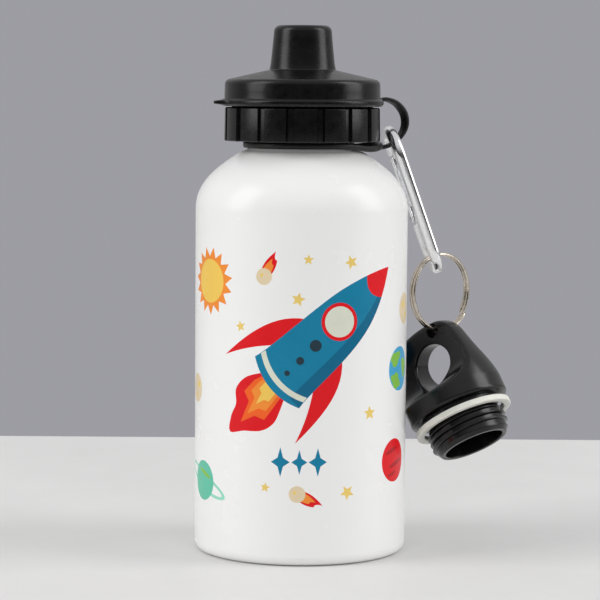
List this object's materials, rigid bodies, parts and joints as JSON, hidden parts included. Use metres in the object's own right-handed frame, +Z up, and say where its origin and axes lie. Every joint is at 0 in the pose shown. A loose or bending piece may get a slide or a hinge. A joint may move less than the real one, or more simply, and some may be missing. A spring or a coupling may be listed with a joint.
{
  "type": "sports water bottle",
  "caption": "White aluminium sports bottle with black push-pull lid, tethered dust cover, and a spare loop cap hung on a carabiner and split ring.",
  "frame": {"origin": "on the bottle's axis, in the plane that its base stands on", "axes": "+Z up along the bottle's axis, -Y towards the printed front, +X towards the side that the spare cap hangs on"},
  "size_m": [0.1102, 0.073, 0.1808],
  "materials": {
    "white_coat": "glossy white coating with a small printed pattern of a rocket, stars and planets, clear-coated",
    "black_lid": "black polypropylene with a fine satin moulded grain",
    "black_gloss": "polished black moulded plastic",
    "silicone": "milky translucent silicone",
    "dark_seal": "dark rubber",
    "bright_aluminium": "tumbled and polished aluminium",
    "steel_pin": "plain steel",
    "nickel_wire": "nickel-plated spring steel wire"
  },
  "bodies": {
    "bottle": {"bottle_shell": "white_coat"},
    "lid_seal": {"lid_gasket": "silicone"},
    "lid": {"sport_lid": "black_lid", "spout_seal": "dark_seal"},
    "spout": {"drinking_spout": "black_lid"},
    "tether": {"neck_ring": "black_lid", "cover_strap": "black_lid"},
    "cover": {"dust_cover": "black_lid"},
    "carabiner": {"carabiner_frame": "bright_aluminium", "gate_pivot_pin": "steel_pin"},
    "gate": {"carabiner_gate": "bright_aluminium", "gate_nose_pin": "steel_pin", "gate_plunger": "steel_pin", "gate_spring": "steel_pin"},
    "ring": {"split_ring": "nickel_wire"},
    "spare_cap": {"loop_cap": "black_gloss", "loop_cap_gasket": "silicone"}
  },
  "joints": [
    {"name": "lid_lift", "type": "slide", "parent": "bottle", "child": "lid_seal", "axis": [0, 0, 1], "range_m": [0, 0.0066]},
    {"name": "lid_turn", "type": "hinge", "parent": "lid_seal", "child": "lid", "pos_m": [0, 0, 0.15], "axis": [0, 0, 1], "range_deg": [0, 1080]},
    {"name": "spout_pull", "type": "slide", "parent": "lid", "child": "spout", "axis": [0, 0, 1], "range_m": [0, 0.005]},
    {"name": "tether_swivel", "type": "hinge", "parent": "lid_seal", "child": "tether", "pos_m": [0, 0, 0.14], "axis": [0, 0, 1], "continuous": true},
    {"name": "cover_flip", "type": "hinge", "parent": "tether", "child": "cover", "pos_m": [0.03383, 0.01231, 0.15], "axis": [-0.342, 0.9397, 0], "range_deg": [0, 120], "deforming": ["cover_strap"]},
    {"name": "carabiner_swing", "type": "hinge", "parent": "tether", "child": "carabiner", "pos_m": [0.03016, 0.01098, 0.1444], "axis": [0.1097, -0.994, 0], "range_deg": [0, 60]},
    {"name": "gate_open", "type": "hinge", "parent": "carabiner", "child": "gate", "pos_m": [0.0402, 0.01981, 0.11433], "axis": [0.934, 0.1031, 0.342], "range_deg": [0, 28], "stiffness_Nm_per_rad": 0.02},
    {"name": "ring_swing", "type": "hinge", "parent": "carabiner", "child": "ring", "pos_m": [0.04723, 0.01286, 0.09723], "axis": [0.1097, -0.994, 0], "range_deg": [0, 45]},
    {"name": "cap_swing", "type": "hinge", "parent": "ring", "child": "spare_cap", "pos_m": [0.04899, 0.01434, 0.075], "axis": [-0.766, -0.6428, 0], "range_deg": [0, 40]}
  ],
  "couplings": [
    {"joint": "lid_lift", "follows": "lid_turn", "m_per_rad": 0.00035014}
  ]
}
